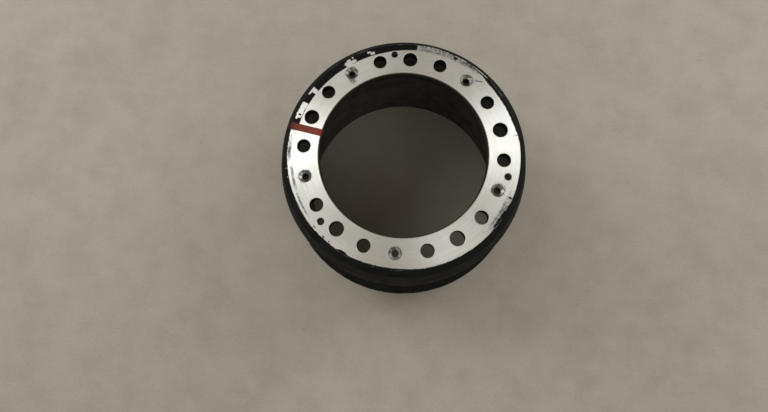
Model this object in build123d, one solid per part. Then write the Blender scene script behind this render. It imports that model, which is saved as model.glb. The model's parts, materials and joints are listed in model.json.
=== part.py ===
from build123d import *
import os

# Brake drum: one iron casting, machined on its wheel face, hub seat, bore and brake track.
# It stands on its open end, +Z is its axis, and the wheel face is on top.
# All sizes are in millimetres. Widths are radial, heights and depths are along the axis.

# Heights
drum_height = 313.0            # open end to wheel face
flange_thickness = 18.0        # wheel face to hub seat
shoulder_depth = 12.0          # wheel face to the foot of the chamfer round its edge
cone_height = 47.0             # tapered wall between the shoulder and the barrel
band_height = 104.0            # stiffening band, from the open end to its upper edge
ledge_rise = 12.0              # slope from the band's upper edge up to the barrel

# Diameters and radial widths, from the bolt circle outwards and inwards
hole_circle_diameter = 335.0   # studs, screws and clearance holes share this circle
hub_land = 26.5                # hole circle in to the hub bore
rim_land = 27.3                # hole circle out to the edge of the wheel face
shoulder_width = 11.0          # chamfer round the wheel face
cone_width = 12.6              # shoulder out to the barrel
barrel_wall = 13.4             # barrel's outside in to the brake track
band_step = 15.4               # barrel's outside out to the band
track_step = 2.0               # end of the bored track in to the rough crown
seat_margin = 3.2              # forcing holes out to the edge of the hub seat

# Holes through the flange
sector_count = 5               # each sector holds a screw, a stud, a clearance hole and a stud
stud_hole_diameter = 23.0
clearance_hole_diameter = 25.0
screw_hole_diameter = 11.0
screw_head_diameter = 22.0     # countersunk for the retaining screws
forcing_hole_diameter = 10.2   # tapping size
forcing_offset = 10.0          # forcing holes lie outside the hole circle by this much

# Edges
bore_chamfer = 2.0
mouth_chamfer = 3.0            # lead-in at the open end of the brake track
foot_chamfer = 2.0             # outer edge of the open end
band_chamfer = 2.0             # upper edge of the band
crown_bevel = 6.0              # sloped corner between the hub seat and the tapered wall
shoulder_round = 8.0
barrel_round = 30.0            # blend of the tapered wall into the barrel
ledge_round = 8.0              # root of the ledge
cut_overrun = 1.0              # how far a cutter runs past the face that it leaves

# The holes stand at equal stations round the circle, and the pattern starts on -Y.
# A forcing hole stands midway between two stations.
stations_per_sector = 4
station_angle = 360.0 / (sector_count * stations_per_sector)
pattern_start = -90.0
screw_stations = (0.0,)
stud_stations = (1.0, 3.0)
clearance_stations = (2.0,)
forcing_stations = (-2.5, 4.5, 10.5)

# Radii worked out from the widths
hole_circle_radius = hole_circle_diameter / 2
bore_radius = hole_circle_radius - hub_land
face_radius = hole_circle_radius + rim_land
shoulder_radius = face_radius + shoulder_width
barrel_radius = shoulder_radius + cone_width
band_radius = barrel_radius + band_step
track_radius = barrel_radius - barrel_wall
forcing_circle_radius = hole_circle_radius + forcing_offset
seat_radius = forcing_circle_radius + forcing_hole_diameter / 2 + seat_margin

# Levels worked out from the heights
hub_seat_level = drum_height - flange_thickness
shoulder_level = drum_height - shoulder_depth
track_end_level = shoulder_level - cone_height


def casting_section():
    """Half section of the drum: corners as (radius, level, rounding), round the outline."""
    corners = (
        (bore_radius + bore_chamfer, drum_height, 0),
        (face_radius, drum_height, 0),
        (shoulder_radius, shoulder_level, min(shoulder_round, shoulder_depth)),
        (barrel_radius, track_end_level, min(barrel_round, cone_height)),
        (barrel_radius, band_height + ledge_rise, min(ledge_round, band_step)),
        (band_radius - band_chamfer, band_height, 0),
        (band_radius, band_height - band_chamfer, 0),
        (band_radius, foot_chamfer, 0),
        (band_radius - foot_chamfer, 0, 0),
        (track_radius + mouth_chamfer, 0, 0),
        (track_radius, mouth_chamfer, 0),
        (track_radius, track_end_level, 0),
        (track_radius - track_step, track_end_level, 0),
        (seat_radius + crown_bevel, hub_seat_level - crown_bevel, 0),
        (seat_radius, hub_seat_level, 0),
        (bore_radius + bore_chamfer, hub_seat_level, 0),
        (bore_radius, hub_seat_level + bore_chamfer, 0),
        (bore_radius, drum_height - bore_chamfer, 0),
    )
    points = [(radius, level) for radius, level, _ in corners]
    roundings = [rounding for _, _, rounding in corners]
    return make_face(FilletPolyline(points, radius=roundings, close=True))


def plain_hole(diameter):
    """Cutter on the drum's axis: a straight hole through the flange."""
    depth = flange_thickness + 2 * cut_overrun
    return Pos(0, 0, drum_height + cut_overrun) * Cylinder(
        diameter / 2, depth, align=(Align.CENTER, Align.CENTER, Align.MAX)
    )


def screw_hole():
    """Cutter on the drum's axis: a through hole with a 90 degree countersink at the wheel face."""
    hole_radius = screw_hole_diameter / 2
    head_radius = screw_head_diameter / 2
    countersink_depth = head_radius - hole_radius
    countersink = Pos(0, 0, drum_height) * Cone(
        hole_radius, head_radius, countersink_depth, align=(Align.CENTER, Align.CENTER, Align.MAX)
    )
    return plain_hole(screw_hole_diameter) + countersink


def sector_holes(cutter, stations):
    """The cutter at the given stations of every sector, on the hole circle."""
    places = []
    for station in stations:
        first_angle = pattern_start + station * station_angle
        places += PolarLocations(hole_circle_radius, sector_count, start_angle=first_angle)
    return [place * cutter for place in places]


def forcing_holes():
    """Cutters for the tapped holes whose screws push the drum off its hub."""
    cutter = plain_hole(forcing_hole_diameter)
    angles = [pattern_start + station * station_angle for station in forcing_stations]
    return [Rot(0, 0, angle) * Pos(forcing_circle_radius, 0, 0) * cutter for angle in angles]


def brake_drum():
    """The whole casting with its machined faces and holes."""
    drum = revolve(Plane.XZ * casting_section(), Axis.Z)
    drum -= sector_holes(plain_hole(stud_hole_diameter), stud_stations)
    drum -= sector_holes(plain_hole(clearance_hole_diameter), clearance_stations)
    drum -= sector_holes(screw_hole(), screw_stations)
    drum -= forcing_holes()
    return drum


os.makedirs("parts", exist_ok=True)
export_step(brake_drum(), "parts/brake_drum.step")
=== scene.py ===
import json
from functools import reduce
from math import degrees, pi, radians

import bmesh
import bpy
from bpy.props import FloatProperty, FloatVectorProperty, IntProperty, PointerProperty
from mathutils import Matrix, Vector


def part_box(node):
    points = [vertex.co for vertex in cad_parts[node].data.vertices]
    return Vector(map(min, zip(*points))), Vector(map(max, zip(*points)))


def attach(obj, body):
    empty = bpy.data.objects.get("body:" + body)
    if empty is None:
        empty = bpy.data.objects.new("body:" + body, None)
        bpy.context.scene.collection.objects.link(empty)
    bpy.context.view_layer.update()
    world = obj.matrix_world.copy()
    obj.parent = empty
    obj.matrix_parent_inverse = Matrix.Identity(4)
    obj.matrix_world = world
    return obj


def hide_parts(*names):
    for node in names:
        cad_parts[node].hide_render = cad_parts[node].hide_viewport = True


bl_info = {
    "name": "Brake Drum",
    "version": (1, 0, 0),
    "blender": (4, 5, 0),
    "location": "View3D > Sidebar > Brake Drum",
    "description": "Builds a black truck brake drum with a turned wheel face, on a plain stage",
    "category": "Object",
}

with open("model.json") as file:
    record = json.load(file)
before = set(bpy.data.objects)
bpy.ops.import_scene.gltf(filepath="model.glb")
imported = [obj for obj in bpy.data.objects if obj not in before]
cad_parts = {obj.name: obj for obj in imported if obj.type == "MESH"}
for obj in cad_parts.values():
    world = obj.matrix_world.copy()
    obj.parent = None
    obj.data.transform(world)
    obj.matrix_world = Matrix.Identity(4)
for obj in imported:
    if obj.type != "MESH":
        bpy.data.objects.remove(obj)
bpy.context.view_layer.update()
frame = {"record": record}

BODY = "root"
NODE = "brake_drum"
MM_IN_METRE = 1000
MM = 1 / MM_IN_METRE
TINY = 1e-5
MERGE_GAP = 1e-6

MOUNTS = {mount["name"]: mount for mount in frame["record"]["mounts"]}
HIGH_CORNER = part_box(NODE)[1]
DRUM_HEIGHT = HIGH_CORNER.z
TOP_MM = DRUM_HEIGHT / MM
# A touch inside the solid's box, so that the facets never pass it
BAND_RADIUS = min(HIGH_CORNER.x, HIGH_CORNER.y) - TINY
BORE_RADIUS = MOUNTS["hub_bore"]["dims"]["r_mm"] * MM
TRACK_RADIUS = MOUNTS["brake_track"]["dims"]["r_mm"] * MM
HUB_SEAT_LEVEL = MOUNTS["hub_seat"]["pos_m"][2]
HOLE_CIRCLE_RADIUS = MOUNTS["wheel_studs"]["dims"]["pcd_mm"] / 2 * MM
SCREW_ANGLE = radians(-90)
SCREW_COUNT = MOUNTS["retaining_screws"]["dims"]["count"]
THREADED = [mount for mount in MOUNTS.values() if mount["kind"] == "threaded_hole"]
FORCING_HOLES = [Vector(mount["pos_m"]) for mount in THREADED]
THREAD_CREST_RADIUS = THREADED[0]["dims"]["r_mm"] * MM

# The casting's finishes, in the order of its material slots
WHEEL_FACE, BLACK_CASTING, BRAKE_TRACK, PAINTED_BORE, BARE_EDGE, SCREW_CONE = range(6)
SHARP_ANGLE = radians(33)

# Legs of the corners' roundings in metres, and their facets: few on broken edges
CRISP_EDGE, BROKEN_EDGE = 0.0003, 0.0005
SHOULDER_BLEND, BARREL_BLEND, LEDGE_BLEND = 0.0022, 0.0040, 0.0035
CROWN_BLEND, SEAT_BLEND = 0.0025, 0.0012
EDGE_SEGMENTS, BLEND_SEGMENTS = 3, 6

# Section of a thread's ridge: half its root as a share of the pitch, its crest as a share
# of its root, and how far it sinks into the wall as a share of its depth
RIDGE_HALF_ROOT, RIDGE_CREST, RIDGE_SUNK = 0.46, 0.15, 0.1

# How far the paint comes in from the edge of the wheel face: angle in degrees, reach in
# millimetres. The face was masked in one arc, is bare to its edge in another, and has a
# thin ragged margin of paint round the rest.
THIN_MARGIN = (
    (-180, 0.9), (-165, 0.5), (-150, 1.4), (-137, 0.5), (-128, 1.8), (-119.5, 1.5), (-118, 4.4),
    (-115, 4.9), (-113, 2.2), (-95, 3.5), (-84, 2.8), (-76, 1.2), (-60, 0.8), (-40, 0.6),
    (-30, 2.2), (-24, 1.6), (-20, 0.4), (8, 0.0), (13, 1.6), (20, 4.2), (33, 5.8), (45.5, 6.0),
    (48.5, 3.2), (55, 2.7), (60, 0.8), (180, 0.8),
)
MASKED_MARGIN = (
    (-180, 9.6), (86, 9.6), (95, 10.8), (105, 12.4), (127, 13.4), (140, 13.2), (157, 12.2),
    (180, 11.2),
)
MASKED_ARC = (86.8, 171.9)
BARE_ARC = (56.0, 86.8)

# Marks on the wheel face: angle in degrees, radius, half angle in degrees, half width.
# Radii and widths are in millimetres.
BARE_CHIPS = (
    (161.6, 188.8, 3.1, 4.9), (157.8, 188.2, 1.7, 5.3), (164.5, 191.4, 1.3, 1.7),
    (149.1, 191.8, 2.2, 1.4), (148.1, 187.0, 1.3, 4.6), (124.7, 185.6, 2.1, 4.2),
    (123.9, 189.4, 1.0, 2.6), (122.0, 185.0, 1.7, 2.7), (121.4, 191.8, 0.4, 1.5),
    (112.4, 190.0, 1.0, 1.6), (110.8, 186.6, 1.2, 2.6),
)
DARK_FLECKS = (
    (163.1, 188.4, 0.5, 2.3), (66.2, 190.8, 1.0, 2.2), (-177.0, 191.9, 1.4, 0.9),
    (-178.6, 189.6, 0.5, 0.5), (176.6, 189.3, 0.4, 0.8), (177.6, 193.4, 0.8, 0.7),
    (175.2, 190.8, 0.3, 0.6), (-175.4, 190.9, 0.8, 0.6), (57.4, 192.2, 1.3, 0.9),
    (60.5, 192.0, 1.2, 0.8), (-28.2, 192.8, 2.2, 2.6), (-32.0, 191.4, 1.7, 1.5),
    (-34.8, 192.2, 1.0, 1.8), (-24.0, 193.6, 1.3, 0.9), (-19.3, 190.6, 0.5, 2.8),
    (-124.6, 190.9, 0.5, 0.9), (-128.2, 191.3, 0.8, 1.0), (-134.9, 190.7, 0.7, 0.8),
)
GREY_SMUDGES = (
    (79.5, 188.0, 7.0, 4.0), (62.0, 190.6, 10.0, 3.6), (-28.5, 190.4, 9.6, 6.0),
    (-30.0, 190.0, 8.0, 4.8), (74.0, 196.0, 12.5, 6.0), (-148.5, 188.3, 6.0, 1.5),
    (-162.5, 187.6, 6.0, 2.2), (-177.0, 190.6, 4.5, 2.6), (70.0, 188.2, 16.0, 3.0),
    (128.0, 158.0, 2.0, 9.0),
)
SCRAPED_RIM = (
    (73.4, 192.7, 13.3, 3.0), (57.5, 193.4, 5.5, 1.6), (52.0, 195.0, 5.5, 0.7),
    (-163.7, 196.4, 0.3, 1.6), (-168.5, 196.8, 0.35, 2.2),
)
# Thin strokes: from angle, from radius, to angle, to radius
DARK_STROKES = (
    (13.5, 187.0, 13.2, 195.0), (-21.8, 187.6, -28.5, 186.3), (-28.5, 186.3, -36.0, 186.4),
    (-146.0, 188.9, -152.4, 188.1), (-16.8, 179.6, -15.6, 175.6), (-15.2, 178.0, -14.3, 174.6),
    (-14.3, 171.6, -13.5, 168.4), (86.0, 186.6, 78.5, 187.2), (84.0, 188.4, 75.0, 188.6),
    (77.0, 187.6, 69.0, 188.8), (65.0, 190.4, 56.0, 191.0), (59.0, 189.8, 50.0, 191.6),
)
BLUE_STROKES = ((50.2, 177.0, 47.2, 184.0),)
RING_SHADE = (0.25, 0.24, 0.21)
# What the floor's marks leave of its red, green and blue
FLOOR_DULLING = (0.50, 0.47, 0.43)

# Lamps round the wheel face: direction from its centre, and share of the lamp power
LAMPS = {
    "left_lamp": ((-0.93, 0.37, 0.58), 0.80),
    "upper_left_lamp": ((-0.93, 0.37, 1.02), 0.66),
    "right_lamp": ((0.85, 0.53, 0.59), 1.40),
    "front_lamp": ((0.67, -0.74, 1.23), 0.55),
    "front_left_lamp": ((-0.71, -0.71, 1.0), 0.26),
    "back_lamp": ((-0.69, 0.72, 1.19), 0.20),
    "high_lamp": ((-1.0, 0.0, 1.88), 0.16),
}
SENSOR_WIDTH_MM = 36


def in_metres(name, description, default):
    """A setting in metres."""
    return FloatProperty(
        name=name, description=description, default=default, unit="LENGTH", precision=5)


def in_degrees(name, description, default):
    """A setting given in degrees and kept in radians."""
    return FloatProperty(
        name=name, description=description, default=radians(default), subtype="ANGLE")


def as_colour(name, description, *default):
    """A colour setting."""
    return FloatVectorProperty(
        name=name, description=description, default=default, min=0, max=1, subtype="COLOR")


class BrakeDrumSizes(bpy.types.PropertyGroup):
    """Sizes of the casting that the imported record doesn't state"""

    wheel_face_radius: in_metres(
        "Wheel Face Radius", "Outer edge of the turned wheel face", 0.1948)
    shoulder_radius: in_metres(
        "Shoulder Radius", "Foot of the chamfer round the wheel face", 0.2058)
    shoulder_depth: in_metres(
        "Shoulder Depth", "Wheel face to the foot of its chamfer", 0.012)
    cone_height: in_metres("Cone Height", "Height of the tapered wall under the shoulder", 0.047)
    barrel_radius: in_metres("Barrel Radius", "Outside of the barrel", 0.2184)
    band_height: in_metres(
        "Band Height", "Open end to the upper edge of the stiffening band", 0.104)
    ledge_rise: in_metres(
        "Ledge Rise", "Height of the slope from the band up to the barrel", 0.012)
    track_step: in_metres(
        "Track Step", "Step from the end of the bored track in to the crown", 0.002)
    seat_radius: in_metres("Hub Seat Radius", "Outer edge of the hub seat", 0.1858)
    crown_bevel: in_metres(
        "Crown Bevel", "Sloped corner between the hub seat and the crown", 0.006)
    mouth_chamfer: in_metres(
        "Mouth Chamfer", "Lead-in at the open end of the brake track", 0.003)
    edge_chamfer: in_metres("Edge Chamfer", "Chamfers of the bore, the band and the foot", 0.002)
    hole_chamfer: in_metres("Hole Chamfer", "Broken edge of the drilled holes", 0.0006)
    screw_head_radius: in_metres(
        "Screw Head Radius", "Countersink of the retaining screws", 0.011)
    thread_pitch: in_metres("Thread Pitch", "Pitch of the threads in the forcing holes", 0.00175)
    thread_depth: in_metres(
        "Thread Depth", "Crest to root of the threads in the forcing holes", 0.0009)
    turn_steps: IntProperty(
        name="Turn Steps", description="Facets round the drum's large circles",
        default=240, min=48, max=720)
    hole_steps: IntProperty(
        name="Hole Steps", description="Facets round each hole", default=48, min=12, max=128)


class BrakeDrumFinish(bpy.types.PropertyGroup):
    """Colours and marks of the drum's surfaces"""

    paint_colour: as_colour("Paint", "Black paint on the casting", 0.0036, 0.0039, 0.0033)
    worn_paint_colour: as_colour(
        "Worn Paint", "Black paint where it has dulled", 0.0088, 0.0090, 0.0078)
    # Painted light: a lighter black for the bore's wall, which makes the wall look more lit than
    # the lamps make it
    bore_painted_light_colour: as_colour(
        "Thin Paint", "Black paint on the bore, where the iron greys it", 0.026, 0.0245, 0.019)
    iron_colour: as_colour("Turned Iron", "Clean turned iron", 0.765, 0.745, 0.705)
    oiled_colour: as_colour(
        "Oiled Iron", "Turned iron under a film of old oil", 0.70, 0.665, 0.585)
    rubbed_colour: as_colour(
        "Rubbed Edge", "Dull iron where the paint has rubbed off an edge", 0.20, 0.19, 0.17)
    drilled_colour: as_colour(
        "Bored Iron", "Bare edge and rubbed spots of the bore and the holes", 0.22, 0.20, 0.165)
    track_colour: as_colour(
        "Brake Track", "Bored brake track under its preserving oil", 0.135, 0.126, 0.100)
    cone_colour: as_colour("Countersinks", "Iron of the countersunk cones", 0.17, 0.155, 0.145)
    film_colour: as_colour("Brown Film", "Brown film deep in the countersinks", 0.115, 0.104, 0.100)
    oil_colour: as_colour("Old Oil", "Old oil in threads and at countersinks", 0.050, 0.042, 0.040)
    dust_colour: as_colour("Dust", "Dust on ledges", 0.10, 0.092, 0.078)
    smudge_colour: as_colour(
        "Smudge", "Grey-brown smudges and scratches on the wheel face", 0.070, 0.061, 0.051)
    scratch_colour: as_colour("Scratch", "Fresh blue-grey scratch", 0.15, 0.20, 0.23)
    stripe_colour: as_colour("Stripe", "Brushed red-brown marking stripe", 0.110, 0.020, 0.012)
    stripe_thin_colour: as_colour(
        "Thin Stripe", "Stripe where the brush laid it thin", 0.270, 0.062, 0.036)
    stripe_angle: in_degrees("Stripe Angle", "Direction of the stripe from the drum's axis", 169.9)
    stripe_width: in_metres("Stripe Width", "Width of the brushed stripe", 0.0124)


class BrakeDrumStage(bpy.types.PropertyGroup):
    """Floor, light and camera"""

    floor_colour: as_colour("Floor", "Colour of the plain floor", 0.362, 0.322, 0.264)
    floor_size: in_metres("Floor Size", "Side of the square floor", 30.0)
    sky_colour: as_colour("Sky", "Colour of the even light from all round", 1.0, 0.94, 0.82)
    sky_level: FloatProperty(
        name="Sky Level", description="Strength of the even light from all round",
        default=0.41, min=0, max=2, subtype="FACTOR")
    lamp_colour: as_colour("Lamps", "Colour of the lamps", 0.88, 0.94, 1.0)
    lamp_power: FloatProperty(
        name="Lamp Power", description="Watts of a lamp whose share is 1", default=22.6, min=0,
        unit="POWER")
    lamp_size: in_metres("Lamp Size", "Side of each square lamp", 1.3)
    lamp_distance: in_metres("Lamp Distance", "Lamp to the centre of the wheel face", 2.6)
    lens: FloatProperty(
        name="Lens", description="Focal length in millimetres on a 36 mm sensor", default=21.95,
        unit="CAMERA")
    camera_distance: in_metres(
        "Camera Distance", "Camera to the centre of the wheel face", 0.7865)
    camera_elevation: in_degrees(
        "Camera Elevation", "Camera above the plane of the wheel face", 73.75)
    camera_azimuth: in_degrees(
        "Camera Azimuth", "Camera round the drum's axis from the front", 2.585)
    camera_pan: in_degrees("Camera Pan", "Aim to the right of the wheel face's centre", -2.12)
    camera_tilt: in_degrees("Camera Tilt", "Aim above the wheel face's centre", -6.53)
    camera_roll: in_degrees("Camera Roll", "Camera turned about its own aim", -1.60)


class Value:
    """A number, colour or place in a node tree. Sums with it lay the nodes that work them out."""

    def __init__(self, socket):
        self.socket = socket
        self.tree = socket.id_data

    def __add__(self, other):
        return maths("ADD", self, other)

    def __sub__(self, other):
        return maths("SUBTRACT", self, other)

    def __rsub__(self, other):
        return maths("SUBTRACT", other, self)

    def __mul__(self, other):
        return maths("MULTIPLY", self, other)

    def __truediv__(self, other):
        return maths("DIVIDE", self, other)

    def __rtruediv__(self, other):
        return maths("DIVIDE", other, self)

    def __pow__(self, other):
        return maths("POWER", self, other)

    def __abs__(self):
        return maths("ABSOLUTE", self)

    def step(self, low, high):
        """0 below low, 1 above high and a smooth rise between; low may be the larger."""
        return lay("MapRange", {"Value": self, "From Min": low, "From Max": high}, "Result",
                   interpolation_type="SMOOTHSTEP")


def feed(socket, value):
    """Gives a socket its value: a link to another node's output, or a constant."""
    if isinstance(value, Value):
        value.tree.links.new(value.socket, socket)
    else:
        socket.default_value = value


def new_node(tree, kind, **settings):
    """A shader node in a tree, with its settings made."""
    node = tree.nodes.new("ShaderNode" + kind)
    for name, setting in settings.items():
        setattr(node, name, setting)
    return node


def lay(kind, inputs, output=0, **settings):
    """Lays a node in the tree that its inputs come from, and returns one of its outputs."""
    tree = next(value.tree for value in inputs.values() if isinstance(value, Value))
    node = new_node(tree, kind, **settings)
    for key, value in inputs.items():
        feed(node.inputs[key], value)
    return Value(node.outputs[output])


def maths(operation, *values):
    """One operation on numbers."""
    return lay("Math", dict(enumerate(values)), operation=operation)


def vector_maths(operation, first, second, output=0):
    """One operation on two places."""
    return lay("VectorMath", {0: first, 1: second}, output, operation=operation)


def most(*values):
    """The largest of several masks."""
    return reduce(lambda first, second: maths("MAXIMUM", first, second), values)


def split(place):
    """The three parts of a place."""
    parts = new_node(place.tree, "SeparateXYZ")
    feed(parts.inputs[0], place)
    return [Value(part) for part in parts.outputs]


def point(x, y, z=0.0):
    """A place from its three parts."""
    return lay("CombineXYZ", {0: x, 1: y, 2: z})


def noise(place, scale, detail=2.0, roughness=0.5):
    """Smooth noise about 0.5, with its scale in cells to the metre."""
    inputs = {"Vector": place, "Scale": scale, "Detail": detail, "Roughness": roughness}
    return lay("TexNoise", inputs, "Fac")


def blend(share, first, second):
    """Colour that goes from first to second as share goes from 0 to 1."""
    inputs = {0: share}
    for key, shade in ((6, first), (7, second)):
        inputs[key] = shade if isinstance(shade, Value) else (*shade, 1)
    return lay("Mix", inputs, 2, data_type="RGBA")


def level(share, first, second):
    """Number that goes from first to second as share goes from 0 to 1."""
    return lay("Mix", {0: share, 2: first, 3: second}, data_type="FLOAT")


def label(name):
    """A socket's or a group's name, from the name of an input or a function."""
    return name.replace("_", " ").title()


def takes(*places, **numbers):
    """Notes an effect's inputs: its places, and its numbers with their defaults."""
    def note(recipe):
        recipe.inputs = {**dict.fromkeys(places), **numbers}
        return recipe
    return note


def effect_group(recipe):
    """The node group of an effect, made once from the function that lays its nodes."""
    name = "Drum " + label(recipe.__name__)
    group = bpy.data.node_groups.get(name)
    if group:
        return group
    group = bpy.data.node_groups.new(name, "ShaderNodeTree")
    for key, default in recipe.inputs.items():
        kind = "NodeSocketVector" if default is None else "NodeSocketFloat"
        socket = group.interface.new_socket(label(key), in_out="INPUT", socket_type=kind)
        if default is not None:
            socket.default_value = default
    start = group.nodes.new("NodeGroupInput").outputs
    results = recipe(**{key: Value(start[label(key)]) for key in recipe.inputs})
    for key in results:
        group.interface.new_socket(key, in_out="OUTPUT", socket_type="NodeSocketFloat")
    end = group.nodes.new("NodeGroupOutput").inputs
    for key, value in results.items():
        feed(end[key], value)
    return group


def effect(recipe, **inputs):
    """The outputs of a shared effect, by name."""
    tree = next(value.tree for value in inputs.values() if isinstance(value, Value))
    node = new_node(tree, "Group", node_tree=effect_group(recipe))
    for key, value in inputs.items():
        feed(node.inputs[label(key)], value)
    return {socket.name: Value(socket) for socket in node.outputs}


@takes("place")
def polar(place):
    """Radius and height in millimetres, and angle in degrees, round the drum's axis."""
    x, y, z = split(place)
    return {
        "Radius": maths("SQRT", x * x + y * y) * MM_IN_METRE,
        "Angle": maths("DEGREES", maths("ARCTAN2", y, x)),
        "Height": z * MM_IN_METRE,
    }


@takes("place", across=1.0, along=0.0, pitch=0.5)
def turning_marks(place, across, along, pitch):
    """Fine rings that a lathe leaves; Groove is their height and Tone their broader shade."""
    spot = effect(polar, place=place)
    turns = (spot["Radius"] * across + spot["Height"] * along) / pitch
    x, y, _ = split(place)
    x, y = x * 9, y * 9
    fine = noise(point(x, y, turns), 1, 3, 0.65)
    broad = noise(point(x, y, turns / 7), 1)
    return {"Groove": fine, "Tone": broad.step(0.3, 0.7)}


@takes("place", grain=1.4)
def cast_grain(place, grain):
    """Sand-cast skin, its grains in millimetres: Height is its relief and Mottle its shade."""
    fine = noise(place, MM_IN_METRE / grain, 3, 0.6)
    waves = noise(place, 70)
    mottle = noise(place, 28, 4, 0.6)
    return {"Height": fine + waves * 1.6, "Mottle": mottle.step(0.35, 0.7)}


@takes("place", amount=0.3)
def settled_dust(place, amount):
    """Dust that settles where the surface looks up."""
    facing = Value(new_node(place.tree, "NewGeometry").outputs["Normal"])
    upward = split(facing)[2].step(0.25, 0.95)
    cloud = noise(place, 55, 5, 0.65).step(0.35, 0.75)
    specks = noise(place, 900, 1).step(0.66, 0.74)
    return {"Mask": (cloud * 0.7 + specks * 0.5) * upward * amount}


@takes("place", rim_radius=0.0, rim_height=0.0, reach=1.0)
def worn_rim(place, rim_radius, rim_height, reach):
    """Paint rubbed off a round edge, given by its radius and height in millimetres."""
    spot = effect(polar, place=place)
    out = spot["Radius"] - rim_radius
    up = spot["Height"] - rim_height
    gap = maths("SQRT", out * out + up * up)
    patchy = noise(place, 60, 5, 0.7).step(0.46, 0.72)
    return {"Mask": (reach * patchy - gap).step(-0.1, 0.25)}


@takes("place", direction=0.0, width=0.012)
def brushed_stripe(place, direction, width):
    """A straight brushed stripe that starts at the axis and runs out in one direction."""
    turned = lay("VectorRotate", {"Vector": place, "Angle": direction * -1}, rotation_type="Z_AXIS")
    along, aside, _ = split(turned)
    bristles = noise(point(along * 22, aside * 1500), 1, 3, 0.6)
    waver = noise(point(along * 90, 0.0), 1) - 0.5
    across = abs(aside + waver * 0.0016)
    half = width * 0.5
    inside = across.step(half + 0.0003, half - 0.0003)
    ahead = maths("GREATER_THAN", along, 0.0)
    middle = across.step(half, half * 0.45)
    blots = noise(point(along * 200, aside * 420), 1).step(0.32, 0.62)
    tone = bristles.step(0.36, 0.7) * level(middle, 0.1, 1.0) * level(blots, 0.35, 1.0)
    return {"Mask": inside * ahead * bristles.step(0.16, 0.32), "Tone": tone}


@takes(radius=0.0, angle=0.0, at_radius=0.0, at_angle=0.0, half_width=1.0, half_angle=1.0,
       ragged=0.0, soft=0.12)
def face_patch(radius, angle, at_radius, at_angle, half_width, half_angle, ragged, soft):
    """A patch on the turned face, square with rounded corners, with an edge that Ragged moves."""
    turn = maths("WRAP", angle - at_angle, 180.0, -180.0) / half_angle
    out = (radius - at_radius) / half_width
    size = (abs(turn) ** 4 + abs(out) ** 4) ** 0.25 + ragged
    return {"Mask": size.step(soft + 1, 1 - soft)}


@takes("place")
def scraped_rim(place):
    """Paint scraped off over the rim of the wheel face, with short radial ticks left in it."""
    spot = effect(polar, place=place)
    bare = patches(spot, SCRAPED_RIM, (noise(place, 900) - 0.5) * 0.7, soft=0.14)
    ticks = noise(point(spot["Angle"] * 0.85, spot["Radius"] * 0.05), 1, 3, 0.6)
    return {"Bare": bare, "Ticks": bare * ticks.step(0.50, 0.60)}


@takes("place")
def screw_distance(place):
    """How far a point is from the axis of the nearest retaining screw, in millimetres."""
    spot = effect(polar, place=place)
    half_sector = 180 / SCREW_COUNT
    turn = maths("WRAP", spot["Angle"] - degrees(SCREW_ANGLE), half_sector, -half_sector)
    circle = HOLE_CIRCLE_RADIUS / MM
    near = spot["Radius"] * maths("COSINE", maths("RADIANS", turn)) * (2 * circle)
    square = spot["Radius"] * spot["Radius"] + circle * circle
    return {"Distance": maths("SQRT", square - near)}


@takes("place", "start", "end", half_width=0.0003)
def face_stroke(place, start, end, half_width):
    """A thin stroke between two points of the turned face, in metres."""
    run = vector_maths("SUBTRACT", end, start)
    reach = vector_maths("SUBTRACT", place, start)
    dots = [vector_maths("DOT_PRODUCT", first, run, "Value") for first in (reach, run)]
    share = maths("MINIMUM", maths("MAXIMUM", dots[0] / dots[1], 0.0), 1.0)
    foot = lay("VectorMath", {0: run, "Scale": share}, operation="SCALE")
    gap = vector_maths("DISTANCE", reach, foot, "Value")
    return {"Mask": (half_width - gap).step(-0.0002, 0.0002)}


def start_material(name):
    """A material, its shader's inputs and the object's coordinates."""
    material = bpy.data.materials.new(name)
    material.use_nodes = True
    place = Value(new_node(material.node_tree, "TexCoord").outputs["Object"])
    return material, material.node_tree.nodes["Principled BSDF"].inputs, place


def add_bump(surface, height, distance, strength):
    """Fine relief, its distance in metres."""
    bump = lay("Bump", {"Height": height, "Distance": distance, "Strength": strength})
    feed(surface["Normal"], bump)


def margin_curve(angle, margin):
    """How far the paint comes in at an angle, in millimetres, from a list of stops."""
    curve = new_node(angle.tree, "FloatCurve")
    deepest = max(reach for _, reach in margin)
    stops = [((at + 180) / 360, reach / deepest) for at, reach in margin]
    line = curve.mapping.curves[0]
    line.points[0].location, line.points[1].location = stops[0], stops[-1]
    for stop in stops[1:-1]:
        line.points.new(*stop)
    for knot in line.points:
        knot.handle_type = "VECTOR"
    curve.mapping.update()
    feed(curve.inputs["Value"], (angle + 180) / 360)
    return Value(curve.outputs[0]) * deepest


def within_arc(angle, arc):
    """1 between two angles in degrees, and 0 outside them."""
    middle, half = (arc[0] + arc[1]) / 2, (arc[1] - arc[0]) / 2
    return abs(angle - middle).step(half + 0.12, half - 0.12)


def patches(spot, marks, ragged, soft=0.12):
    """The masks of a list of marks, joined."""
    return most(*(
        effect(face_patch, radius=spot["Radius"], angle=spot["Angle"], at_angle=angle,
               at_radius=radius, half_angle=half_angle, half_width=half_width, ragged=ragged,
               soft=soft)["Mask"]
        for angle, radius, half_angle, half_width in marks))


def on_face(angle, radius):
    """A point of the wheel face from its angle in degrees and its radius in millimetres."""
    return Matrix.Rotation(radians(angle), 3, "Z") @ Vector((radius * MM, 0, DRUM_HEIGHT))


def wander(place, scale, reach):
    """A place pushed about on the flat by noise, so that a straight mark comes out ragged."""
    sideways, forward = (
        (noise(place, grain, 3, 0.6) - 0.5) * reach for grain in (scale, scale * 1.37))
    return vector_maths("ADD", place, point(sideways, forward))


def strokes(place, lines, half_width):
    """The masks of a list of thin strokes, joined."""
    return most(*(
        effect(face_stroke, place=place, start=on_face(*line[:2]), end=on_face(*line[2:]),
               half_width=half_width)["Mask"]
        for line in lines))


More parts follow.
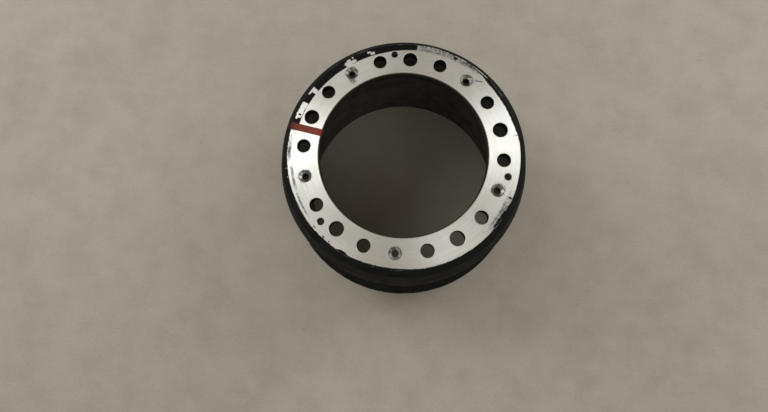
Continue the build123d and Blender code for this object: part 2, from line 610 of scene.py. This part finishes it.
def stripe_over(place, finish):
    """The marking stripe, which runs over the face, its chamfer and the bore's edge."""
    return effect(brushed_stripe, place=place, direction=finish.stripe_angle,
                  width=finish.stripe_width)


def face_paint(spot, jag, rim):
    """Paint on the wheel face: its ragged margin, with bare chips in it and dark flecks by it."""
    turn = spot["Angle"] + jag * 0.5
    masked = within_arc(turn, MASKED_ARC)
    thin = margin_curve(spot["Angle"], THIN_MARGIN) * (1 - within_arc(turn, BARE_ARC))
    reach = level(masked, thin, margin_curve(spot["Angle"], MASKED_MARGIN))
    inner_edge = rim - reach
    paint = (spot["Radius"] + jag * level(masked, 3.2, 0.6) - inner_edge).step(-0.22, 0.22)
    paint = paint * (1 - patches(spot, BARE_CHIPS, jag * 0.9))
    return most(paint, patches(spot, DARK_FLECKS, jag * 1.2))


def face_smudges(place, spot, jag):
    """Smudges, thin strokes, ticks at the scraped rim and rings round the screw holes."""
    cloudy = noise(place, 260, 4, 0.7).step(0.38, 0.58)
    smudge = patches(spot, GREY_SMUDGES, jag, soft=0.45) * level(cloudy, 0.45, 1.0)
    drawn = strokes(wander(place, 420, 0.0022), DARK_STROKES, 0.00055)
    drawn = drawn * noise(place, 700).step(0.3, 0.5)
    ticks = effect(scraped_rim, place=place)["Ticks"] * spot["Radius"].step(190.0, 192.4)
    ring = effect(screw_distance, place=place)["Distance"].step(15.5, 11.0)
    ring = ring * noise(place, 130, 3).step(0.42, 0.66)
    return most(smudge, drawn, ticks, ring * 0.45)


def wheel_face_material(finish, sizes):
    """Turned iron with the paint's ragged margin, chips, smudges and the marking stripe."""
    material, surface, place = start_material("turned_wheel_face")
    spot = effect(polar, place=place)
    turning = effect(turning_marks, place=place, pitch=0.55)
    jag = noise(place, 420, 3) - 0.5 + (noise(place, 1500) - 0.5) * 0.6
    paint = face_paint(spot, jag, sizes.wheel_face_radius / MM)
    smudge = face_smudges(place, spot, jag)
    scratch = strokes(place, BLUE_STROKES, 0.0010)

    stain = noise(place, 16, 4, 0.6).step(0.35, 0.7)
    smear = noise(place, 45, 3, 0.55).step(0.42, 0.68)
    pits = noise(place, 700, 1).step(0.735, 0.77)
    iron = blend(stain, finish.iron_colour, finish.oiled_colour)
    iron = blend(pits * 0.5, iron, finish.smudge_colour)
    iron = blend(turning["Tone"] * 0.10, iron, RING_SHADE)
    iron = blend(smudge * 0.9, iron, finish.smudge_colour)
    iron = blend(scratch, iron, finish.scratch_colour)
    painted = blend(paint, iron, finish.paint_colour)
    stripe = stripe_over(place, finish)
    brushed = blend(stripe["Tone"], finish.stripe_colour, finish.stripe_thin_colour)
    over_paint = spot["Radius"].step(183, 203) * 0.8
    brushed = blend(over_paint, brushed, finish.paint_colour)
    feed(surface["Base Color"], blend(stripe["Mask"], painted, brushed))

    covered = most(paint, stripe["Mask"])
    bare = 1 - covered
    feed(surface["Metallic"], bare * (1 - smudge * 0.65))
    rough = (turning["Tone"] - 0.5) * 0.06 + 0.50 + smudge * 0.12 - smear * 0.07
    feed(surface["Roughness"], level(covered, rough, 0.62))
    add_bump(surface, turning["Groove"] * (bare * 0.35) + covered * 1.2, 0.00006, 0.6)
    feed(surface["Specular IOR Level"], 0.1)
    feed(surface["Anisotropic"], 0.85)
    feed(surface["Anisotropic Rotation"], 0.25)
    tangent = new_node(place.tree, "Tangent", direction_type="RADIAL", axis="Z")
    feed(surface["Tangent"], Value(tangent.outputs[0]))
    return material


def black_casting_material(finish, sizes):
    """Black paint on the cast skin, rubbed at the edges and dusty on top."""
    material, surface, place = start_material("black_painted_casting")
    grain = effect(cast_grain, place=place, grain=1.5)
    dust = effect(settled_dust, place=place, amount=0.03)["Mask"]
    rims = (
        (sizes.wheel_face_radius, DRUM_HEIGHT, 1.0),
        (sizes.shoulder_radius, DRUM_HEIGHT - sizes.shoulder_depth, 0.5),
        (BAND_RADIUS, sizes.band_height - sizes.edge_chamfer, 2.6),
        (BAND_RADIUS, sizes.edge_chamfer, 3.2),
    )
    worn = most(*(
        effect(worn_rim, place=place, rim_radius=radius / MM, rim_height=height / MM,
               reach=reach)["Mask"]
        for radius, height, reach in rims))
    spot = effect(polar, place=place)
    near_top = spot["Height"].step(TOP_MM - 12, TOP_MM - 7)
    faded = level(spot["Radius"].step(194, 205), 0.45, 0.1)
    marked = stripe_over(place, finish)["Mask"] * (near_top * faded)
    scrape = effect(scraped_rim, place=place)
    scraped = (scrape["Bare"] - scrape["Ticks"]) * spot["Height"].step(TOP_MM - 13, TOP_MM - 8)
    worn = most(worn, scraped)
    paint = blend(grain["Mottle"], finish.paint_colour, finish.worn_paint_colour)
    paint = blend(dust, paint, finish.dust_colour)
    paint = blend(marked, paint, finish.stripe_colour)
    rubbed = blend(scraped, finish.rubbed_colour, finish.iron_colour)
    feed(surface["Base Color"], blend(worn * 0.85, paint, rubbed))
    feed(surface["Metallic"], worn * 0.8)
    rough = level(worn, level(grain["Mottle"], 0.54, 0.80), 0.45)
    feed(surface["Roughness"], level(dust, rough, 0.9))
    feed(surface["Specular IOR Level"], 0.08)
    add_bump(surface, grain["Height"], 0.0010, 0.8)
    return material


def machined_material(name, clean, stained, metallic, roughness, stain_share=0.5, **turning):
    """Machined iron with its tool's rings, and old oil on it."""
    material, surface, place = start_material(name)
    marks = effect(turning_marks, place=place, **turning)
    stain = noise(place, 34, 5, 0.65).step(0.3, 0.72) * stain_share
    shade = most(stain, marks["Tone"] * 0.3)
    feed(surface["Base Color"], blend(shade, clean, stained))
    feed(surface["Metallic"], metallic)
    feed(surface["Roughness"], level(stain, roughness, roughness + 0.18))
    add_bump(surface, marks["Groove"], 0.00008, 0.6)
    return material


def painted_bore_material(finish):
    """Black paint through which the tool's rings still show, rubbed through in places, and
    lightened on the bore's wall as painted light.
    """
    material, surface, place = start_material("painted_bore_iron")
    turning = effect(turning_marks, place=place, across=1.0, along=1.0, pitch=0.5)
    spot = effect(polar, place=place)
    bore = BORE_RADIUS / MM
    # Painted light: within the bore the colours go up a step, black paint to worn paint and worn
    # paint to a lighter grey, so that the bore's wall looks more lit than the lamps make it
    painted_light_in_bore = spot["Radius"].step(bore + 9, bore + 5)
    film = blend(turning["Tone"], blend(painted_light_in_bore, finish.paint_colour, finish.worn_paint_colour),
                 blend(painted_light_in_bore, finish.worn_paint_colour, finish.bore_painted_light_colour))
    brushed = stripe_over(place, finish)["Mask"] * spot["Height"].step(TOP_MM - 3.5, TOP_MM - 2)
    film = blend(brushed, film, finish.stripe_colour)
    edge = spot["Height"].step(TOP_MM - 0.75, TOP_MM - 0.5) * (1 - brushed)
    rubbed = noise(place, 120, 5, 0.7).step(0.66, 0.72)
    bare = most(rubbed * 0.5, edge)
    feed(surface["Base Color"], blend(bare, film, finish.drilled_colour))
    feed(surface["Metallic"], bare)
    feed(surface["Roughness"], level(turning["Tone"], 0.5, 0.66))
    feed(surface["Specular IOR Level"], 0.08)
    add_bump(surface, turning["Groove"], 0.00008, 0.5)
    return material


def countersink_material(finish):
    """Bare cones with a film at the hole, a dark line at the mouth and bright rubbed spots."""
    material, surface, place = start_material("countersunk_iron")
    gap = effect(screw_distance, place=place)["Distance"]
    turning = effect(turning_marks, place=place, across=0.0, along=1.0, pitch=0.5)
    blotch = noise(place, 170, 3, 0.55)
    rubbed = (blotch + turning["Tone"] * 0.06).step(0.47, 0.62)
    deep = (gap + blotch * 3).step(9.2, 6.8)
    mouth = (gap + blotch * 1.4).step(10.4, 11.2)
    cone = blend(rubbed, finish.cone_colour, finish.iron_colour)
    cone = blend(deep, cone, finish.film_colour)
    feed(surface["Base Color"], blend(mouth * 0.85, cone, finish.oil_colour))
    feed(surface["Metallic"], level(most(deep, mouth), 1.0, 0.6))
    feed(surface["Roughness"], level(rubbed, 0.42, 0.26))
    add_bump(surface, turning["Groove"], 0.00006, 0.5)
    return material


def make_finishes(finish, sizes):
    """The casting's materials, in the order of its slots."""
    return (
        wheel_face_material(finish, sizes),
        black_casting_material(finish, sizes),
        machined_material("bored_brake_track", finish.track_colour, finish.paint_colour, 0.6, 0.42,
                          stain_share=0.65, across=0.0, along=1.0, pitch=0.9),
        painted_bore_material(finish),
        machined_material("bare_edge_iron", finish.iron_colour, finish.oiled_colour, 1.0, 0.36,
                          pitch=0.35),
        countersink_material(finish),
    )


def casting_corners(sizes):
    """Corners of the half section: radius, level and the length of the rounding's legs."""
    edge = sizes.edge_chamfer
    mouth = sizes.mouth_chamfer
    shoulder_level = DRUM_HEIGHT - sizes.shoulder_depth
    track_end = shoulder_level - sizes.cone_height
    return (
        (BORE_RADIUS + edge, DRUM_HEIGHT, CRISP_EDGE),
        (sizes.wheel_face_radius, DRUM_HEIGHT, BROKEN_EDGE),
        (sizes.shoulder_radius, shoulder_level, SHOULDER_BLEND),
        (sizes.barrel_radius, track_end, BARREL_BLEND),
        (sizes.barrel_radius, sizes.band_height + sizes.ledge_rise, LEDGE_BLEND),
        (BAND_RADIUS - edge, sizes.band_height, BROKEN_EDGE),
        (BAND_RADIUS, sizes.band_height - edge, BROKEN_EDGE),
        (BAND_RADIUS, edge, BROKEN_EDGE),
        (BAND_RADIUS - edge, 0, BROKEN_EDGE),
        (TRACK_RADIUS + mouth, 0, CRISP_EDGE),
        (TRACK_RADIUS, mouth, CRISP_EDGE),
        (TRACK_RADIUS, track_end, CRISP_EDGE),
        (TRACK_RADIUS - sizes.track_step, track_end, CRISP_EDGE),
        (sizes.seat_radius + sizes.crown_bevel, HUB_SEAT_LEVEL - sizes.crown_bevel, CROWN_BLEND),
        (sizes.seat_radius, HUB_SEAT_LEVEL, SEAT_BLEND),
        (BORE_RADIUS + edge, HUB_SEAT_LEVEL, CRISP_EDGE),
        (BORE_RADIUS, HUB_SEAT_LEVEL + edge, CRISP_EDGE),
        (BORE_RADIUS, DRUM_HEIGHT - edge, CRISP_EDGE),
    )


def spin_round(bm, centre, steps):
    """Spins a wire outline once round an upright axis and closes it."""
    bmesh.ops.spin(bm, geom=bm.verts[:] + bm.edges[:], cent=centre, axis=(0, 0, 1),
                   dvec=(0, 0, 0), angle=2 * pi, steps=steps, use_merge=True,
                   use_duplicate=False)
    bmesh.ops.remove_doubles(bm, verts=bm.verts, dist=MERGE_GAP)
    bmesh.ops.recalc_face_normals(bm, faces=bm.faces)


def spun_casting(sizes):
    """The casting's body of revolution, before its holes."""
    bm = bmesh.new()
    corners = casting_corners(sizes)
    outline = [bm.verts.new((radius, 0, height)) for radius, height, _ in corners]
    bm.faces.new(outline)
    for corner, (_, _, leg) in zip(outline, corners):
        segments = BLEND_SEGMENTS if leg > BROKEN_EDGE else EDGE_SEGMENTS
        bmesh.ops.bevel(bm, geom=[corner], offset=leg, offset_type="OFFSET", segments=segments,
                        profile=0.5, affect="VERTICES", material=-1)
    bmesh.ops.delete(bm, geom=bm.faces[:], context="FACES_ONLY")
    spin_round(bm, (0, 0, 0), sizes.turn_steps)
    for face in bm.faces:
        face.material_index = finish_of(face, sizes)
        face.smooth = True
    return bm


def finish_of(face, sizes):
    """Which finish a face of the spun body has, by where it lies."""
    centre = face.calc_center_median()
    radius = centre.xy.length
    track_end = DRUM_HEIGHT - sizes.shoulder_depth - sizes.cone_height
    if centre.z > DRUM_HEIGHT - TINY:
        return WHEEL_FACE
    if radius < sizes.seat_radius:
        return PAINTED_BORE
    if radius < TRACK_RADIUS + sizes.mouth_chamfer and centre.z < track_end:
        return BRAKE_TRACK
    return BLACK_CASTING


def hole_centres():
    """Centres on the hole circle: studs, clearance holes and retaining screws."""
    sector = 2 * pi / SCREW_COUNT
    spoke = Vector((HOLE_CIRCLE_RADIUS, 0, 0))
    at = {"stud": [], "clearance": [], "screw": []}
    for number in range(SCREW_COUNT):
        for kind, station in (("screw", 0), ("stud", 1), ("clearance", 2), ("stud", 3)):
            turn = SCREW_ANGLE + sector * (number + station / 4)
            at[kind].append(Matrix.Rotation(turn, 3, "Z") @ spoke)
    return at


def add_cutter(bm, centre, radius, mouth, sizes, mouth_finish=BARE_EDGE):
    """A spun drill: a through hole with a cone of the given leg at its top mouth."""
    over = sizes.edge_chamfer
    chamfer = sizes.hole_chamfer
    outline = (
        (0, HUB_SEAT_LEVEL - over),
        (radius + chamfer + over, HUB_SEAT_LEVEL - over),
        (radius, HUB_SEAT_LEVEL + chamfer),
        (radius, DRUM_HEIGHT - mouth),
        (radius + mouth + over, DRUM_HEIGHT + over),
        (0, DRUM_HEIGHT + over),
    )
    drill = bmesh.new()
    points = [drill.verts.new((centre.x + out, centre.y, height)) for out, height in outline]
    for low, high in zip(points, points[1:]):
        drill.edges.new((low, high))
    spin_round(drill, (centre.x, centre.y, 0), sizes.hole_steps)
    for face in drill.faces:
        at_mouth = face.calc_center_median().z > DRUM_HEIGHT - mouth
        face.material_index = mouth_finish if at_mouth else PAINTED_BORE
        face.smooth = True
    part = bpy.data.meshes.new("drill")
    drill.to_mesh(part)
    drill.free()
    bm.from_mesh(part)
    bpy.data.meshes.remove(part)


def drills(sizes):
    """All the holes' cutters in one bmesh."""
    bm = bmesh.new()
    at = hole_centres()
    stud_radius, clearance_radius, screw_radius = (
        MOUNTS[name]["dims"]["hole_r_mm"] * MM
        for name in ("wheel_studs", "clearance_holes", "retaining_screws"))
    for centre in at["stud"]:
        add_cutter(bm, centre, stud_radius, sizes.hole_chamfer, sizes)
    for centre in at["clearance"]:
        add_cutter(bm, centre, clearance_radius, sizes.hole_chamfer, sizes)
    for centre in at["screw"]:
        sunk = sizes.screw_head_radius - screw_radius
        add_cutter(bm, centre, screw_radius, sunk, sizes, SCREW_CONE)
    for centre in FORCING_HOLES:
        root_radius = THREAD_CREST_RADIUS + sizes.thread_depth
        add_cutter(bm, centre, root_radius, sizes.hole_chamfer, sizes)
    return bm


def make_object(name, bm, materials):
    """An object in the scene from a bmesh, which it frees."""
    mesh = bpy.data.meshes.new(name)
    bm.to_mesh(mesh)
    bm.free()
    for material in materials:
        mesh.materials.append(material)
    made = bpy.data.objects.new(name, mesh)
    bpy.context.scene.collection.objects.link(made)
    return made


def apply_modifiers(piece):
    """Makes the piece's finished shape its own mesh, so that no modifier is left live."""
    rough = piece.data
    depsgraph = bpy.context.evaluated_depsgraph_get()
    piece.data = bpy.data.meshes.new_from_object(piece.evaluated_get(depsgraph))
    piece.modifiers.clear()
    bpy.data.meshes.remove(rough)
    piece.data.name = piece.name


def cut_away(solid, tool):
    """Takes the tool's volume out of the solid and removes the tool."""
    cut = solid.modifiers.new("holes", "BOOLEAN")
    cut.operation = "DIFFERENCE"
    cut.solver = "EXACT"
    cut.object = tool
    apply_modifiers(solid)
    bpy.data.meshes.remove(tool.data)


class BRAKEDRUM_OT_casting(bpy.types.Operator):
    """Spin the casting, drill it and give it its finishes"""

    bl_idname = "brake_drum.casting"
    bl_label = "Make Casting"

    def execute(self, context):
        sizes = context.scene.brake_drum_sizes
        finishes = make_finishes(context.scene.brake_drum_finish, sizes)
        casting = make_object("drum_casting", spun_casting(sizes), finishes)
        cut_away(casting, make_object("drum_drills", drills(sizes), finishes))
        casting.data.set_sharp_from_angle(angle=SHARP_ANGLE)
        flats = casting.modifiers.new("flats_keep_their_shade", "WEIGHTED_NORMAL")
        flats.keep_sharp = True
        apply_modifiers(casting)
        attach(casting, BODY)
        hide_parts(NODE)
        return {"FINISHED"}


def add_thread(bm, centre, sizes):
    """One helical ridge up the wall of a forcing hole."""
    root = THREAD_CREST_RADIUS + sizes.thread_depth * (1 + RIDGE_SUNK)
    bottom = HUB_SEAT_LEVEL + sizes.thread_pitch
    turns = int((DRUM_HEIGHT - bottom) / sizes.thread_pitch) - 1
    half_root = sizes.thread_pitch * RIDGE_HALF_ROOT
    half_crest = half_root * RIDGE_CREST
    section = [bm.verts.new((centre.x + out, centre.y, bottom + rise)) for out, rise in (
        (root, -half_root), (THREAD_CREST_RADIUS, -half_crest),
        (THREAD_CREST_RADIUS, half_crest), (root, half_root))]
    ridge = bm.faces.new(section)
    for _ in range(turns):
        spun = bmesh.ops.spin(
            bm, geom=[ridge, *ridge.edges, *ridge.verts], cent=(centre.x, centre.y, 0),
            axis=(0, 0, 1), dvec=(0, 0, sizes.thread_pitch / sizes.hole_steps), angle=2 * pi,
            steps=sizes.hole_steps, use_merge=False, use_duplicate=False)
        ridge = next(part for part in spun["geom_last"] if isinstance(part, bmesh.types.BMFace))


class BRAKEDRUM_OT_threads(bpy.types.Operator):
    """Cut the threads of the forcing holes"""

    bl_idname = "brake_drum.threads"
    bl_label = "Cut Threads"

    def execute(self, context):
        sizes = context.scene.brake_drum_sizes
        finish = context.scene.brake_drum_finish
        bm = bmesh.new()
        for centre in FORCING_HOLES:
            add_thread(bm, centre, sizes)
        bmesh.ops.recalc_face_normals(bm, faces=bm.faces)
        material = machined_material(
            "threaded_iron", finish.oil_colour, finish.paint_colour, 0.6, 0.45, stain_share=0.9,
            across=0.0, along=1.0, pitch=0.3)
        threads = make_object("forcing_hole_threads", bm, [material])
        threads.data.shade_smooth()
        threads.data.set_sharp_from_angle(angle=SHARP_ANGLE)
        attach(threads, BODY)
        return {"FINISHED"}


def floor_material(stage):
    """Pale floor with soft clouds, fine grit and a few small stains."""
    material, surface, place = start_material("plain_floor")
    clouds = noise(place, 2.2, 6, 0.6).step(0.3, 0.7)
    wear = noise(place, 13, 6, 0.65).step(0.35, 0.72)
    grit = noise(place, 240, 5, 0.75)
    stains = noise(place, 17, 6, 0.75).step(0.64, 0.74)
    shade = clouds * 0.15 + wear * 0.20 + grit.step(0.38, 0.62) * 0.16 + stains * 0.30
    dark = [channel * share for channel, share in zip(stage.floor_colour, FLOOR_DULLING)]
    feed(surface["Base Color"], blend(shade, stage.floor_colour, dark))
    feed(surface["Roughness"], level(grit, 0.75, 0.95))
    feed(surface["Specular IOR Level"], 0.3)
    add_bump(surface, grit, 0.0006, 0.5)
    return material


def add_lamp(name, direction, power, stage, aim):
    """A square lamp that stands off from its aim and faces it, unseen by the camera."""
    lamp = bpy.data.lights.new(name, "AREA")
    lamp.shape = "SQUARE"
    lamp.size = stage.lamp_size
    lamp.energy = power
    lamp.color = stage.lamp_colour
    holder = bpy.data.objects.new(name, lamp)
    bpy.context.scene.collection.objects.link(holder)
    away = Vector(direction).normalized()
    holder.location = aim + away * stage.lamp_distance
    holder.rotation_euler = away.to_track_quat("Z", "Y").to_euler()
    holder.visible_camera = False


def add_camera(stage, aim):
    """The camera, turned round the drum, raised, and then aimed by small turns."""
    lens = bpy.data.cameras.new("camera")
    lens.lens = stage.lens
    lens.sensor_width = SENSOR_WIDTH_MM
    camera = bpy.data.objects.new("camera", lens)
    bpy.context.scene.collection.objects.link(camera)
    camera.matrix_world = (
        Matrix.Translation(aim)
        @ Matrix.Rotation(stage.camera_azimuth, 4, "Z")
        @ Matrix.Rotation(pi / 2 - stage.camera_elevation, 4, "X")
        @ Matrix.Translation((0, 0, stage.camera_distance))
        @ Matrix.Rotation(-stage.camera_pan, 4, "Y")
        @ Matrix.Rotation(stage.camera_tilt, 4, "X")
        @ Matrix.Rotation(-stage.camera_roll, 4, "Z")
    )
    bpy.context.scene.camera = camera


class BRAKEDRUM_OT_stage(bpy.types.Operator):
    """Lay the floor and set the light and the camera"""

    bl_idname = "brake_drum.stage"
    bl_label = "Set Stage"

    def execute(self, context):
        stage = context.scene.brake_drum_stage
        bm = bmesh.new()
        bmesh.ops.create_grid(bm, x_segments=1, y_segments=1, size=stage.floor_size / 2)
        floor = make_object("floor", bm, [floor_material(stage)])

        world = bpy.data.worlds.new("even_light")
        world.use_nodes = True
        sky = world.node_tree.nodes["Background"].inputs
        sky["Color"].default_value = (*stage.sky_colour, 1)
        sky["Strength"].default_value = stage.sky_level
        context.scene.world = world

        aim = Vector((0, 0, DRUM_HEIGHT))
        for name, (direction, share) in LAMPS.items():
            add_lamp(name, direction, stage.lamp_power * share, stage, aim)
        add_camera(stage, aim)
        context.scene.view_settings.view_transform = "Standard"
        return {"FINISHED"}


class BRAKEDRUM_PT_panel(bpy.types.Panel):
    """The drum's sizes, finishes and stage"""

    bl_idname = "BRAKEDRUM_PT_panel"
    bl_label = "Brake Drum"
    bl_space_type = "VIEW_3D"
    bl_region_type = "UI"
    bl_category = "Brake Drum"

    def draw(self, context):
        scene = context.scene
        for settings, operators in (
            (scene.brake_drum_sizes, (BRAKEDRUM_OT_casting, BRAKEDRUM_OT_threads)),
            (scene.brake_drum_finish, ()),
            (scene.brake_drum_stage, (BRAKEDRUM_OT_stage,)),
        ):
            box = self.layout.box()
            for name in settings.__annotations__:
                box.prop(settings, name)
            for operator in operators:
                box.operator(operator.bl_idname)


CLASSES = (
    BrakeDrumSizes, BrakeDrumFinish, BrakeDrumStage, BRAKEDRUM_OT_casting, BRAKEDRUM_OT_threads,
    BRAKEDRUM_OT_stage, BRAKEDRUM_PT_panel,
)


def register():
    for cls in CLASSES:
        bpy.utils.register_class(cls)
    bpy.types.Scene.brake_drum_sizes = PointerProperty(type=BrakeDrumSizes)
    bpy.types.Scene.brake_drum_finish = PointerProperty(type=BrakeDrumFinish)
    bpy.types.Scene.brake_drum_stage = PointerProperty(type=BrakeDrumStage)


def unregister():
    del bpy.types.Scene.brake_drum_stage
    del bpy.types.Scene.brake_drum_finish
    del bpy.types.Scene.brake_drum_sizes
    for cls in reversed(CLASSES):
        bpy.utils.unregister_class(cls)


def main():
    register()
    bpy.ops.brake_drum.stage()
    bpy.ops.brake_drum.casting()
    bpy.ops.brake_drum.threads()


if __name__ == "__main__":
    main()
